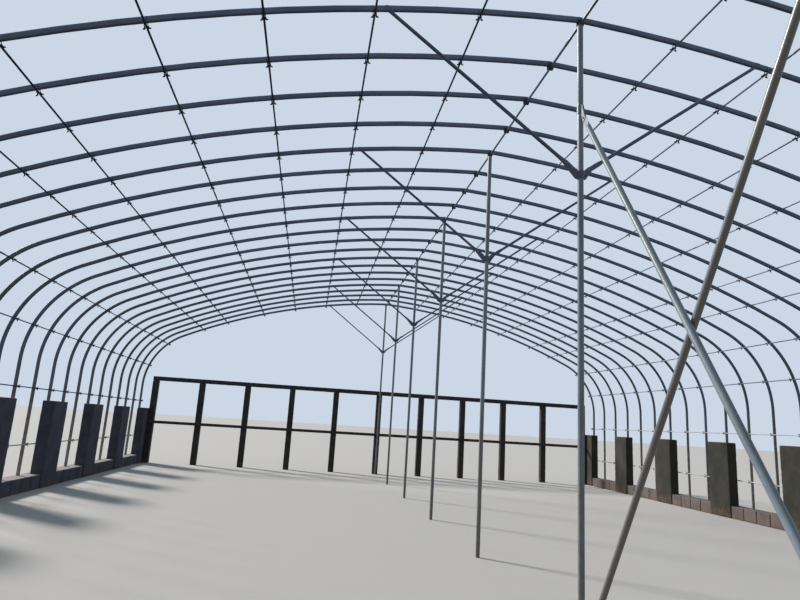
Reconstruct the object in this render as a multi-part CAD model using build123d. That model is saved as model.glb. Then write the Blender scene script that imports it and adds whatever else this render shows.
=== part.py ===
from build123d import *
from math import asin, ceil, cos, degrees, pi, radians, sin, sqrt
import os

# Layout: X runs across the span, Y along the tunnel, Z up from the ground
HOOP_PITCH = 750
PITCHES_PER_BAY = 4
BAYS = 6
PITCHES_PER_PILLAR = 3

# Hoop centre line: two equal halves that meet at a shallow ridge
HALF_SPAN = 7500
RIDGE_HEIGHT = 5600
RIDGE_SLOPE = 3
ROOF_RADIUS = 17500
SHOULDER_RADIUS = 1800
HOOP_DEPTH = 66
HOOP_WIDTH = 30

# Curves as flats: largest turn in degrees from chord to chord, and sides of round tubes
CHORD_TURN = 9
TUBE_SIDES = 12
PURLIN_SIDES = 8

# Tubes, by outer diameter
PURLIN_DIAMETER = 22
RIDGE_PURLIN_DIAMETER = 30
POST_DIAMETER = 56
STRUT_DIAMETER = 34
BRACE_DIAMETER = 50
PURLIN_OVERHANG = 120

# Purlin stations along the hoop from the ridge, and rail heights above the ground
ROOF_PURLIN_STEP = 1020
ROOF_PURLIN_STEPS = 4
HAUNCH_STEP = 1185
HAUNCH_GAP = 765
LEG_HEAD_STEP = 880
UPPER_RAIL_HEIGHT = 1870
LOW_RAIL_HEIGHT = 830

# Masonry side walls
CURB_HEIGHT = 265
CURB_OUTSIDE_LEG = 60
PILLAR_LENGTH = 700
PILLAR_DEPTH = 230
PILLAR_HEIGHT = 1660
PILLAR_PROUD = 20

# Folded clamp under the ridge of each hoop
CLAMP_WIDTH = 64
CLAMP_PLATE = 4
CLAMP_LAP = 40

# Collars on the posts, in two halves bolted through the flat ends of struts and brace
COLLAR_DROP = 1635
COLLAR_BAND = 76
COLLAR_WALL = 5
EAR_LENGTHS = {"left": 200, "right": 130}
EAR_WIDTH = 60
EAR_ROOT = 50

# Squeezed ends of struts and braces
TAB_PLATE = 6
TAB_WIDTH = 46
TAB_LENGTH = 150
FLARE_LENGTH = 80
STRUT_HEAD_STATION = 1920
STRUT_FOOT_GAP = 58

# Crossed brace in the first bay: one tube between the posts, one on their right flanks.
# Each has its head at a drop below the ridge. The flank tube's foot is cut off at the ground.
MIDDLE_BRACE_DROP = 975
MIDDLE_BRACE_FOOT = 70
MIDDLE_BRACE_GAP = 105
FLANK_BRACE_DROP = 930
FLANK_BRACE_FOOT = -20
BRACE_TAB_WIDTH = 58
BRACE_EAR_LENGTH = 175

# Post and rail frame across the far end
END_POST_SIZE = 180
END_POST_COUNT = 11
END_FRAME_GAP = 120
END_TOP_RAIL_HEIGHT = 2660
END_TOP_RAIL_DEPTH = 130
END_MID_RAIL_HEIGHT = 1290
END_MID_RAIL_DEPTH = 90
END_MID_RAIL_THICKNESS = 60

HOOP_COUNT = BAYS * PITCHES_PER_BAY + 1
LENGTH = (HOOP_COUNT - 1) * HOOP_PITCH
BAY_LENGTH = PITCHES_PER_BAY * HOOP_PITCH
HOOP_YS = [i * HOOP_PITCH - LENGTH / 2 for i in range(HOOP_COUNT)]
POST_YS = HOOP_YS[::PITCHES_PER_BAY]
PILLAR_YS = HOOP_YS[::PITCHES_PER_PILLAR]
WALL_END = PILLAR_YS[-1] + PILLAR_LENGTH / 2

SIDES = {"left": -1, "right": 1}

# Where the roof arc runs into the shoulder arc, as an angle from the vertical
ROOF_OFFSET = ROOF_RADIUS * sin(radians(RIDGE_SLOPE))
ROOF_CENTRE_Z = RIDGE_HEIGHT - ROOF_RADIUS * cos(radians(RIDGE_SLOPE))
SHOULDER_X = HALF_SPAN - SHOULDER_RADIUS
JOIN_ANGLE = asin((SHOULDER_X + ROOF_OFFSET) / (ROOF_RADIUS - SHOULDER_RADIUS))
SHOULDER_Z = ROOF_CENTRE_Z + (ROOF_RADIUS - SHOULDER_RADIUS) * cos(JOIN_ANGLE)
ROOF_ARC_LENGTH = ROOF_RADIUS * (JOIN_ANGLE - radians(RIDGE_SLOPE))
SHOULDER_END = ROOF_ARC_LENGTH + SHOULDER_RADIUS * (pi / 2 - JOIN_ANGLE)


def ridge_z(inward):
    """Height on the middle line of a curve that runs inward of the centre line."""
    return ROOF_CENTRE_Z + sqrt((ROOF_RADIUS - inward) ** 2 - ROOF_OFFSET ** 2)


RIDGE_PURLIN_Z = ridge_z(HOOP_DEPTH / 2) - RIDGE_PURLIN_DIAMETER / 2
CLAMP_BOTTOM = RIDGE_PURLIN_Z - RIDGE_PURLIN_DIAMETER / 2 - CLAMP_PLATE
CLAMP_TOP = ridge_z(HOOP_DEPTH / 2) + CLAMP_LAP
COLLAR_HEIGHT = RIDGE_HEIGHT - COLLAR_DROP


def hoop_turn(station):
    """Angle of the hoop's normal from the vertical, at an arc length from the ridge."""
    if station <= ROOF_ARC_LENGTH:
        return radians(RIDGE_SLOPE) + station / ROOF_RADIUS
    return min(pi / 2, JOIN_ANGLE + (station - ROOF_ARC_LENGTH) / SHOULDER_RADIUS)


def hoop_point(station, inward):
    """Point (x, z) at an arc length from the ridge, moved inward from the centre line."""
    turn = hoop_turn(station)
    if station <= ROOF_ARC_LENGTH:
        radius = ROOF_RADIUS - inward
        return radius * sin(turn) - ROOF_OFFSET, ROOF_CENTRE_Z + radius * cos(turn)
    radius = SHOULDER_RADIUS - inward
    down_leg = max(0, station - SHOULDER_END)
    return SHOULDER_X + radius * sin(turn), SHOULDER_Z + radius * cos(turn) - down_leg


def wall_x(height, inward):
    """Distance from the middle of a line on the leg or shoulder, moved inward, at a height."""
    rise = max(0, height - SHOULDER_Z)
    return SHOULDER_X + sqrt((SHOULDER_RADIUS - inward) ** 2 - rise ** 2)


PILLAR_OUTER = wall_x(PILLAR_HEIGHT, HOOP_DEPTH / 2)
PILLAR_INNER = PILLAR_OUTER - PILLAR_DEPTH
CURB_INNER = PILLAR_INNER + PILLAR_PROUD
CURB_OUTER = HALF_SPAN + HOOP_DEPTH / 2 + CURB_OUTSIDE_LEG


def purlin_stations():
    """Arc lengths of the roof purlins on one side, from the ridge outward."""
    stations = [ROOF_PURLIN_STEP * (i + 1) for i in range(ROOF_PURLIN_STEPS)]
    for step in (HAUNCH_STEP, HAUNCH_GAP, HAUNCH_STEP, LEG_HEAD_STEP):
        stations.append(stations[-1] + step)
    return stations


def corner_stations():
    """Arc lengths of the outline's corners: at each purlin, each arc's end, and evenly between."""
    marks = sorted([0, ROOF_ARC_LENGTH, SHOULDER_END] + purlin_stations())
    corners = []
    for near, far in zip(marks, marks[1:]):
        chords = ceil(degrees(hoop_turn(far) - hoop_turn(near)) / CHORD_TURN)
        corners += [near + (far - near) * (i + 1) / chords for i in range(chords)]
    return corners


def hoop_outline(inward):
    """Corners of one face of the hoop, from the left foot over the ridge to the right foot."""
    half = [hoop_point(station, inward) for station in corner_stations()]
    half.append((HALF_SPAN - inward, CURB_HEIGHT))
    return [(-x, z) for x, z in reversed(half)] + [(0, ridge_z(inward))] + half


def box(x0, x1, y0, y1, z0, z1):
    """Box between two corners."""
    centre = ((x0 + x1) / 2, (y0 + y1) / 2, (z0 + z1) / 2)
    return Pos(*centre) * Box(abs(x1 - x0), y1 - y0, z1 - z0)


def tube(start, end, diameter, corner):
    """Thin tube between two points, with one of its edges towards the direction corner."""
    start = Vector(*start)
    axis = Vector(*end) - start
    plane = Plane(origin=start, x_dir=corner, z_dir=axis)
    return extrude(plane * RegularPolygon(diameter / 2, PURLIN_SIDES), axis.length)


def long_bar(x, z, diameter, corner):
    """Straight bar along the whole tunnel."""
    reach = LENGTH / 2 + PURLIN_OVERHANG
    return tube((x, -reach, z), (x, reach, z), diameter, corner)


def make_hoop():
    """One arch with its legs, as a flat outline given the tube's width."""
    outer = hoop_outline(-HOOP_DEPTH / 2)
    inner = hoop_outline(HOOP_DEPTH / 2)
    face = make_face(Polyline(*outer, *reversed(inner), close=True))
    return extrude(Plane.XZ * face, HOOP_WIDTH / 2, both=True)


def make_roof_purlins(side):
    """Purlins that lie under the hoops on one side, down to the head of the legs."""
    inward = HOOP_DEPTH / 2 + PURLIN_DIAMETER / 2
    bars = []
    for station in purlin_stations():
        x, z = hoop_point(station, inward)
        turn = hoop_turn(station)
        bars.append(long_bar(side * x, z, PURLIN_DIAMETER, (side * sin(turn), 0, cos(turn))))
    return bars


def rail_x(height):
    """Place of a side rail that lies against the hoops' inner faces."""
    return wall_x(height, HOOP_DEPTH / 2 + PURLIN_DIAMETER / 2)


def make_low_rail(side):
    """Low rail in lengths that run from pillar to pillar."""
    bars = []
    x = side * rail_x(LOW_RAIL_HEIGHT)
    for near, far in zip(PILLAR_YS, PILLAR_YS[1:]):
        start = (x, near + PILLAR_LENGTH / 2, LOW_RAIL_HEIGHT)
        end = (x, far - PILLAR_LENGTH / 2, LOW_RAIL_HEIGHT)
        bars.append(tube(start, end, PURLIN_DIAMETER, (1, 0, 0)))
    return bars


def make_pillar(side, y):
    return box(side * PILLAR_INNER, side * PILLAR_OUTER,
               y - PILLAR_LENGTH / 2, y + PILLAR_LENGTH / 2, 0, PILLAR_HEIGHT)


def make_curb(side):
    """Low wall with a seat cut in its inner face for each pillar."""
    curb = box(side * CURB_INNER, side * CURB_OUTER, -WALL_END, WALL_END, 0, CURB_HEIGHT)
    return curb - [make_pillar(side, y) for y in PILLAR_YS]


def make_clamp():
    """Folded clamp that hangs the ridge purlin under the hoop at Y = 0."""
    half = HOOP_WIDTH / 2
    plate = half + CLAMP_PLATE
    width = CLAMP_WIDTH / 2
    slot = RIDGE_PURLIN_DIAMETER / 2
    floor = CLAMP_BOTTOM + CLAMP_PLATE
    body = box(-width, width, -plate, plate, CLAMP_BOTTOM, CLAMP_TOP)
    body -= box(-width, width, -half, half, floor, CLAMP_TOP)
    return body - box(-slot, slot, -plate, plate, floor, floor + RIDGE_PURLIN_DIAMETER)


def post_section(diameter):
    """Section with flats towards both flanks and both ends of the tunnel."""
    return RegularPolygon(diameter / 2, TUBE_SIDES, major_radius=False, rotation=180 / TUBE_SIDES)


def make_post(y):
    return Pos(0, y, 0) * extrude(post_section(POST_DIAMETER), CLAMP_BOTTOM)


def strut_axis(side):
    """Unit direction of a strut from the post's axis, at Y = 0."""
    x, z = hoop_point(STRUT_HEAD_STATION, 0)
    return (Vector(side * x, 0, z) - Vector(0, 0, COLLAR_HEIGHT)).normalized()


def ear_outline(out, up, length):
    """Gusset that grows out of a collar along a direction (out, up) to the tip of its ear."""
    half_band = COLLAR_BAND / 2
    side = 1 if out > 0 else -1
    rise = 1 if up > 0 else -1
    tip = Vector(out, up) * length
    across = Vector(abs(up) * side, -abs(out) * rise) * (EAR_WIDTH / 2)
    points = [(0, -rise * half_band), (side * EAR_ROOT, -rise * half_band),
              tip + across, tip - across, (0, rise * half_band)]
    return make_face(Polyline(*points, close=True))


def make_collar_halves(ears):
    """Both halves of a collar round the origin: each a half band with its ears, facing each other."""
    half_band = COLLAR_BAND / 2
    outer = POST_DIAMETER / 2 + COLLAR_WALL
    near = TAB_PLATE / 2
    half = extrude(post_section(2 * outer), half_band, both=True)
    half &= box(-outer, outer, near, outer, -half_band, half_band)
    for ear in ears:
        half += extrude(Plane.XZ.offset(-near) * ear, -COLLAR_WALL)
    half -= extrude(post_section(POST_DIAMETER), BRACE_EAR_LENGTH, both=True)
    return [half, mirror(half, Plane.XZ)]


def make_strut_collars():
    ears = []
    for name, side in SIDES.items():
        axis = strut_axis(side)
        ears.append(ear_outline(axis.X, axis.Z, EAR_LENGTHS[name]))
    return [Pos(0, y, COLLAR_HEIGHT) * half for y in POST_YS for half in make_collar_halves(ears)]


def middle_brace_axis():
    """Foot on the first post's axis, head on the second's, and the direction between them."""
    foot = Vector(0, POST_YS[0], MIDDLE_BRACE_FOOT)
    head = Vector(0, POST_YS[1], RIDGE_HEIGHT - MIDDLE_BRACE_DROP)
    return foot, head, (head - foot).normalized()


def make_brace_collars():
    """A collar at each end of the middle brace, turned to face along the tunnel."""
    foot, head, axis = middle_brace_axis()
    halves = []
    for end, out, up in ((foot, axis.Y, axis.Z), (head, -axis.Y, -axis.Z)):
        ear = ear_outline(out, up, BRACE_EAR_LENGTH)
        halves += [Pos(end) * Rot(0, 0, 90) * half for half in make_collar_halves([ear])]
    return halves


def squeezed_outline(width):
    """Corners of a tube's section pressed flat, one for each corner of the round tube."""
    points = []
    for i in range(TUBE_SIDES):
        turn = 2 * pi * i / TUBE_SIDES
        lift = round(sin(turn), 6)
        level = (lift > 0) - (lift < 0)
        points.append((width / 2 * cos(turn), level * TAB_PLATE / 2))
    return points


def squeezed_end(plane, diameter, tab_width, shift):
    """Flat tab at a plane, growing along its normal into a round tube."""
    tab = Pos(0, shift) * make_face(Polyline(*squeezed_outline(tab_width), close=True))
    flat = extrude(plane * tab, TAB_LENGTH)
    flare = loft([plane.offset(TAB_LENGTH) * tab,
                  plane.offset(TAB_LENGTH + FLARE_LENGTH) * RegularPolygon(diameter / 2, TUBE_SIDES)],
                 ruled=True)
    return flat + flare


def make_strut(side):
    """Strut from the collar up to the underside of the hoop, at Y = 0."""
    axis = strut_axis(side)
    foot = Plane(origin=Vector(0, 0, COLLAR_HEIGHT) + axis * STRUT_FOOT_GAP,
                 x_dir=axis.cross(Vector(0, 1, 0)), z_dir=axis)
    x, z = hoop_point(STRUT_HEAD_STATION, 0)
    body_start = foot.offset(TAB_LENGTH + FLARE_LENGTH)
    length = (Vector(side * x, 0, z) - body_start.origin).length
    body = extrude(body_start * RegularPolygon(STRUT_DIAMETER / 2, TUBE_SIDES), length)
    underside = make_face(Polyline(*hoop_outline(HOOP_DEPTH / 2), close=True))
    body &= extrude(Plane.XZ * underside, STRUT_DIAMETER, both=True)
    return squeezed_end(foot, STRUT_DIAMETER, TAB_WIDTH, 0) + body


def make_brace(start, end, flank):
    """Straight tube with squeezed ends, their tabs flush with one flank of the tube."""
    axis = (end - start).normalized()
    shift = flank * (BRACE_DIAMETER - TAB_PLATE) / 2
    body_trim = TAB_LENGTH + FLARE_LENGTH
    body_plane = Plane(origin=start + axis * body_trim, x_dir=(0, -axis.Z, axis.Y), z_dir=axis)
    body_length = (end - start).length - 2 * body_trim
    brace = extrude(body_plane * RegularPolygon(BRACE_DIAMETER / 2, TUBE_SIDES), body_length)
    for point, inward in ((start, axis), (end, axis * -1)):
        tip = Plane(origin=point, x_dir=(0, -inward.Z, inward.Y), z_dir=inward)
        local_shift = shift if tip.y_dir.X > 0 else -shift
        brace += squeezed_end(tip, BRACE_DIAMETER, BRACE_TAB_WIDTH, local_shift)
    return brace


def make_cross_brace():
    """One tube between the collars of two posts, and one that crosses it past their right flanks."""
    foot, head, axis = middle_brace_axis()
    middle = make_brace(foot + axis * MIDDLE_BRACE_GAP, head - axis * MIDDLE_BRACE_GAP, 0)
    flank_x = (POST_DIAMETER + BRACE_DIAMETER) / 2
    flank = make_brace(Vector(flank_x, POST_YS[1], FLANK_BRACE_FOOT),
                       Vector(flank_x, POST_YS[0], RIDGE_HEIGHT - FLANK_BRACE_DROP), -1)
    underground = box(0, flank_x + BRACE_DIAMETER, POST_YS[0], POST_YS[1] + TAB_LENGTH, -TAB_LENGTH, 0)
    return [middle, flank - underground]


END_POSTS_Y = HOOP_YS[-1] + END_FRAME_GAP
END_POST_TOP = END_TOP_RAIL_HEIGHT - END_TOP_RAIL_DEPTH


def make_end_posts():
    """Row of squat posts across the far end."""
    half_post = END_POST_SIZE / 2
    half = PILLAR_INNER - half_post
    pitch = 2 * half / (END_POST_COUNT - 1)
    posts = []
    for i in range(END_POST_COUNT):
        x = i * pitch - half
        posts.append(box(x - half_post, x + half_post, END_POSTS_Y, END_POSTS_Y + END_POST_SIZE,
                         0, END_POST_TOP))
    return posts


def make_end_rails():
    """Rail over the heads of the end posts, and a rail across their inner faces."""
    top = box(-PILLAR_INNER, PILLAR_INNER, END_POSTS_Y, END_POSTS_Y + END_POST_SIZE,
              END_POST_TOP, END_TOP_RAIL_HEIGHT)
    middle = box(-PILLAR_INNER, PILLAR_INNER, END_POSTS_Y - END_MID_RAIL_THICKNESS, END_POSTS_Y,
                 END_MID_RAIL_HEIGHT - END_MID_RAIL_DEPTH, END_MID_RAIL_HEIGHT)
    return [top, middle]


def at_each(shape, ys):
    return [Pos(0, y, 0) * shape for y in ys]


def build_nodes():
    nodes = {}
    hoop = make_hoop()
    for number, y in enumerate(HOOP_YS, start=1):
        nodes[f"hoop_{number:02d}"] = [Pos(0, y, 0) * hoop]
    nodes["ridge_purlin"] = [long_bar(0, RIDGE_PURLIN_Z, RIDGE_PURLIN_DIAMETER, (0, 0, 1))]
    nodes["ridge_clamps"] = at_each(make_clamp(), HOOP_YS)
    nodes["centre_posts"] = [make_post(y) for y in POST_YS]
    nodes["post_collars"] = make_strut_collars()
    nodes["cross_brace"] = make_cross_brace()
    nodes["brace_collars"] = make_brace_collars()
    for name, side in SIDES.items():
        nodes[f"roof_purlins_{name}"] = make_roof_purlins(side)
        nodes[f"upper_rail_{name}"] = [long_bar(side * rail_x(UPPER_RAIL_HEIGHT), UPPER_RAIL_HEIGHT,
                                                PURLIN_DIAMETER, (1, 0, 0))]
        nodes[f"low_rail_{name}"] = make_low_rail(side)
        nodes[f"post_struts_{name}"] = at_each(make_strut(side), POST_YS)
        nodes[f"curb_{name}"] = [make_curb(side)]
        nodes[f"pillars_{name}"] = [make_pillar(side, y) for y in PILLAR_YS]
    nodes["end_posts"] = make_end_posts()
    nodes["end_rails"] = make_end_rails()
    return nodes


os.makedirs("parts", exist_ok=True)
for node_name, solids in build_nodes().items():
    export_step(Compound(children=solids), f"parts/{node_name}.step")
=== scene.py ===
from math import asin, cos, pi, radians, sin, sqrt

import bpy
from mathutils import Matrix, Vector, noise


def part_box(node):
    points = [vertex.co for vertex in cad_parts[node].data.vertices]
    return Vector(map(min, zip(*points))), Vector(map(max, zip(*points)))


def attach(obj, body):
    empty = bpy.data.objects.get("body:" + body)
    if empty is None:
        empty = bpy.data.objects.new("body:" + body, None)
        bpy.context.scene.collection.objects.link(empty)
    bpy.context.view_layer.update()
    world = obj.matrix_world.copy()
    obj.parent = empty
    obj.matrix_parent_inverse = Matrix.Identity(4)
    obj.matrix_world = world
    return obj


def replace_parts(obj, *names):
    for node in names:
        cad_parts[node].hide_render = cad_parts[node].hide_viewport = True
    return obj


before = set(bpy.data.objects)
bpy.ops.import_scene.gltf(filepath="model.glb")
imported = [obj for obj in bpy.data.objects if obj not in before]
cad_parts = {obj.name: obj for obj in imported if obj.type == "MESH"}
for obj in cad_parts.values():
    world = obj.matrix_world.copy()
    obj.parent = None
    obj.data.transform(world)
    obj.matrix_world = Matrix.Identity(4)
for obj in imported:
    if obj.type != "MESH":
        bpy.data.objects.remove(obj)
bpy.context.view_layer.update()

# Layout in metres, as in the solids: X across the span, Y along the tunnel, Z up
PITCHES_PER_BAY = 4
PITCHES_PER_PILLAR = 3
HALF_SPAN = 7.5
RIDGE_HEIGHT = 5.6
RIDGE_SLOPE = radians(3)
ROOF_RADIUS = 17.5
SHOULDER_RADIUS = 1.8
HOOP_DEPTH = 0.066
HOOP_WIDTH = 0.03
PURLIN_RADIUS = 0.012
RIDGE_PURLIN_RADIUS = 0.015
POST_RADIUS = 0.028
STRUT_DIAMETER = 0.034
BRACE_DIAMETER = 0.05
ROOF_PURLIN_STEPS = (1.02, 1.02, 1.02, 1.02, 1.185, 0.765, 1.185, 0.88)
UPPER_RAIL_HEIGHT = 1.87
LOW_RAIL_HEIGHT = 0.83
COLLAR_HEIGHT = RIDGE_HEIGHT - 1.635
COLLAR_BAND = 0.076
COLLAR_WALL = 0.005
STRUT_HEAD_STATION = 1.92
MIDDLE_BRACE_HEAD = RIDGE_HEIGHT - 0.975
MIDDLE_BRACE_FOOT = 0.07
FLANK_BRACE_HEAD = RIDGE_HEIGHT - 0.93
FLANK_BRACE_FOOT = -0.02
PILLAR_LENGTH = 0.7

SIDES = {"left": -1, "right": 1}
HOOP_NODES = sorted(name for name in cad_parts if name.startswith("hoop_"))
HOOP_YS = [sum(corner.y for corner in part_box(name)) / 2 for name in HOOP_NODES]
POST_YS = HOOP_YS[::PITCHES_PER_BAY]
PILLAR_YS = HOOP_YS[::PITCHES_PER_PILLAR]
CURB_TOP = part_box("curb_right")[1].z
PILLAR_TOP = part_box("pillars_right")[1].z
PILLAR_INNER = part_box("pillars_right")[0].x
LEG_INNER = HALF_SPAN - HOOP_DEPTH / 2
CLAMP_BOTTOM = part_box("ridge_clamps")[0].z
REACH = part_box("ridge_purlin")[1].y

ROOF_OFFSET = ROOF_RADIUS * sin(RIDGE_SLOPE)
ROOF_CENTRE_Z = RIDGE_HEIGHT - ROOF_RADIUS * cos(RIDGE_SLOPE)
SHOULDER_X = HALF_SPAN - SHOULDER_RADIUS
JOIN_ANGLE = asin((SHOULDER_X + ROOF_OFFSET) / (ROOF_RADIUS - SHOULDER_RADIUS))
SHOULDER_Z = ROOF_CENTRE_Z + (ROOF_RADIUS - SHOULDER_RADIUS) * cos(JOIN_ANGLE)
ROOF_ARC = ROOF_RADIUS * (JOIN_ANGLE - RIDGE_SLOPE)
SHOULDER_ARC = SHOULDER_RADIUS * (pi / 2 - JOIN_ANGLE)


def hoop_at(station, side):
    """Centre-line point, tangent away from the ridge and inward normal at an arc length."""
    if station <= ROOF_ARC:
        turn = RIDGE_SLOPE + station / ROOF_RADIUS
        x = ROOF_RADIUS * sin(turn) - ROOF_OFFSET
        z = ROOF_CENTRE_Z + ROOF_RADIUS * cos(turn)
    elif station <= ROOF_ARC + SHOULDER_ARC:
        turn = JOIN_ANGLE + (station - ROOF_ARC) / SHOULDER_RADIUS
        x = SHOULDER_X + SHOULDER_RADIUS * sin(turn)
        z = SHOULDER_Z + SHOULDER_RADIUS * cos(turn)
    else:
        turn = pi / 2
        x = HALF_SPAN
        z = SHOULDER_Z - (station - ROOF_ARC - SHOULDER_ARC)
    point = Vector((x, 0, z))
    tangent = Vector((cos(turn), 0, -sin(turn)))
    inward = Vector((-sin(turn), 0, -cos(turn)))
    mirror = Vector((side, 1, 1))
    return point * mirror, tangent * mirror, inward * mirror


# Mesh building

# Bolt head, chamfer and washer, as shares of the shank's radius or the head's height
HEAD_RADIUS = 1.15
HEAD_HEIGHT = 0.9
CHAMFER_START = 0.75
CHAMFER_RADIUS = 0.82
WASHER_RADIUS = 1.7
WASHER_HEIGHT = 0.3
WASHER_SIDES = 12
BOLT_SHARP_ANGLE = 30

# Worn masonry: first edge loop as a share of the rounding, and the scales of unevenness and chips
EDGE_LOOP = 0.35
SEED_STRIDES = (7.3, 3.1, 5.7)
BROAD_SCALE = 9
FINE_SCALE = 31
FINE_SHARE = 0.25
CHIP_SCALE = 14
CHIP_LEVEL = 0.25
CHIP_DEPTH = 3.75

SHARP_ANGLE = 40


def across(axis):
    """Two directions square to an axis."""
    other = Vector((0, 1, 0)) if abs(axis.y) < 0.9 else Vector((1, 0, 0))
    u = other.cross(axis).normalized()
    return u, axis.cross(u)


def circle(centre, u, v, radius, count):
    """Points round a centre, in the plane of two directions."""
    turns = [2 * pi * i / count for i in range(count)]
    return [centre + u * (radius * cos(turn)) + v * (radius * sin(turn)) for turn in turns]


class Shape:
    """Vertices and faces gathered for one piece."""

    def __init__(self):
        self.verts = []
        self.faces = []
        self.second_coat = None

    def skin(self, rings, closed=False):
        """Skin over rings with the same number of points, capped at both ends unless closed."""
        start = len(self.verts)
        count = len(rings[0])
        for ring in rings:
            self.verts.extend(tuple(p) for p in ring)
        steps = len(rings) if closed else len(rings) - 1
        for i in range(steps):
            a = start + i * count
            b = start + (i + 1) % len(rings) * count
            for j in range(count):
                k = (j + 1) % count
                self.faces.append((a + j, a + k, b + k, b + j))
        if not closed:
            last = start + (len(rings) - 1) * count
            self.faces.append(tuple(start + j for j in reversed(range(count))))
            self.faces.append(tuple(last + j for j in range(count)))

    def prism(self, outline, low, high, place):
        """Extrude a flat outline of (u, v) between two depths, put in space by place(u, v, w)."""
        self.skin([[place(u, v, w) for u, v in outline] for w in (low, high)])

    def bolt(self, centre, axis, radius):
        """Washer and six-sided head that stand on a surface, for a shank of a radius."""
        u, v = across(axis)
        washer = radius * WASHER_HEIGHT
        rim = radius * WASHER_RADIUS
        self.skin([circle(centre + axis * h, u, v, rim, WASHER_SIDES) for h in (0, washer)])
        seat = centre + axis * washer
        head = radius * HEAD_RADIUS
        top = radius * HEAD_HEIGHT
        levels = ((head, 0), (head, top * CHAMFER_START), (head * CHAMFER_RADIUS, top))
        self.skin([circle(seat + axis * h, u, v, r, 6) for r, h in levels])

    def tube(self, path, radii, sides):
        """Round tube along a path, with a radius at each of its points."""
        path = [Vector(p) for p in path]
        u = None
        rings = []
        for i, (point, radius) in enumerate(zip(path, radii)):
            direction = (path[min(i + 1, len(path) - 1)] - path[max(i - 1, 0)]).normalized()
            if u is None:
                u = across(direction)[0]
            u = (u - direction * u.dot(direction)).normalized()
            rings.append(circle(point, u, direction.cross(u), radius, sides))
        self.skin(rings)

    def rough_box(self, low, high, seed, edge, wear, spacing):
        """Box with rounded, worn edges and uneven faces, all inside its two corners."""
        low, high = Vector(low), Vector(high)
        centre = (low + high) / 2
        half = (high - low) / 2
        shift = Vector([seed * stride for stride in SEED_STRIDES])
        marks = []
        for h in half:
            inner = h - edge
            count = max(1, round(2 * inner / spacing))
            steps = [-inner + 2 * inner * i / count for i in range(count + 1)]
            marks.append([-h, -h + edge * EDGE_LOOP] + steps + [h - edge * EDGE_LOOP, h])
        index = {}

        def vertex(i, j, k):
            key = (i, j, k)
            if key not in index:
                p = Vector((marks[0][i], marks[1][j], marks[2][k]))
                core = Vector(max(-half[a] + edge, min(half[a] - edge, p[a])) for a in range(3))
                out = p - core
                p = core + out.normalized() * edge
                place = centre + p + shift
                rough = 0.5 + 0.5 * noise.noise(place * BROAD_SCALE)
                rough += FINE_SHARE * noise.noise(place * FINE_SCALE)
                on_edge = len([a for a in out if a]) > 1
                chips = CHIP_DEPTH * max(0, noise.noise(place * CHIP_SCALE) - CHIP_LEVEL) if on_edge else 0
                p -= out.normalized() * (wear * (max(0, rough) + chips))
                index[key] = len(self.verts)
                self.verts.append(tuple(centre + p))
            return index[key]

        last = [len(m) - 1 for m in marks]
        for axis in range(3):
            b, c = (axis + 1) % 3, (axis + 2) % 3
            for end in (0, last[axis]):
                for i in range(last[b]):
                    for j in range(last[c]):
                        quad = []
                        for di, dj in ((0, 0), (1, 0), (1, 1), (0, 1)):
                            key = [0, 0, 0]
                            key[axis], key[b], key[c] = end, i + di, j + dj
                            quad.append(vertex(*key))
                        self.faces.append(tuple(quad if end else reversed(quad)))

    def start_second_coat(self, material):
        """Give a second material to the faces that are added from here on."""
        self.second_coat = (len(self.faces), material)

    def finish(self, name, material, sharp=SHARP_ANGLE):
        """Make the piece. Faces that meet at more than an angle in degrees keep a sharp edge."""
        mesh = bpy.data.meshes.new(name)
        mesh.from_pydata(self.verts, [], self.faces)
        mesh.materials.append(material)
        if self.second_coat:
            first_face, other = self.second_coat
            mesh.materials.append(other)
            slots = [int(i >= first_face) for i in range(len(self.faces))]
            mesh.polygons.foreach_set("material_index", slots)
        mesh.polygons.foreach_set("use_smooth", [True] * len(mesh.polygons))
        mesh.set_sharp_from_angle(angle=radians(sharp))
        return place_piece(name, mesh)


def place_piece(name, mesh, y=0):
    piece = bpy.data.objects.new(name, mesh)
    piece.location.y = y
    bpy.context.scene.collection.objects.link(piece)
    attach(piece, "root")
    return piece


# Shader nodes


def new_material(name):
    """A material with its tree, its shader and the place on the surface."""
    material = bpy.data.materials.new(name)
    material.use_nodes = True
    tree = material.node_tree
    shader = tree.nodes["Principled BSDF"]
    place = tree.nodes.new("ShaderNodeNewGeometry").outputs["Position"]
    return material, tree, shader, place


def z_of(tree, vector):
    split = tree.nodes.new("ShaderNodeSeparateXYZ")
    tree.links.new(vector, split.inputs["Vector"])
    return split.outputs["Z"]


def facing_up(tree):
    """How far a surface faces up: 1 on top, 0 upright, -1 underneath."""
    normal = tree.nodes.new("ShaderNodeNewGeometry").outputs["Normal"]
    return z_of(tree, normal)


def noise_node(tree, place, scale, detail, stretch=None):
    node = tree.nodes.new("ShaderNodeTexNoise")
    node.inputs["Scale"].default_value = scale
    node.inputs["Detail"].default_value = detail
    if stretch:
        mapping = tree.nodes.new("ShaderNodeMapping")
        mapping.inputs["Scale"].default_value = stretch
        tree.links.new(place, mapping.inputs["Vector"])
        place = mapping.outputs["Vector"]
    tree.links.new(place, node.inputs["Vector"])
    return node.outputs["Fac"]


def cells_node(tree, place, scale):
    """One value for each crystal."""
    node = tree.nodes.new("ShaderNodeTexVoronoi")
    node.inputs["Scale"].default_value = scale
    tree.links.new(place, node.inputs["Vector"])
    split = tree.nodes.new("ShaderNodeSeparateColor")
    tree.links.new(node.outputs["Color"], split.inputs["Color"])
    return split.outputs["Red"]


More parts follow.
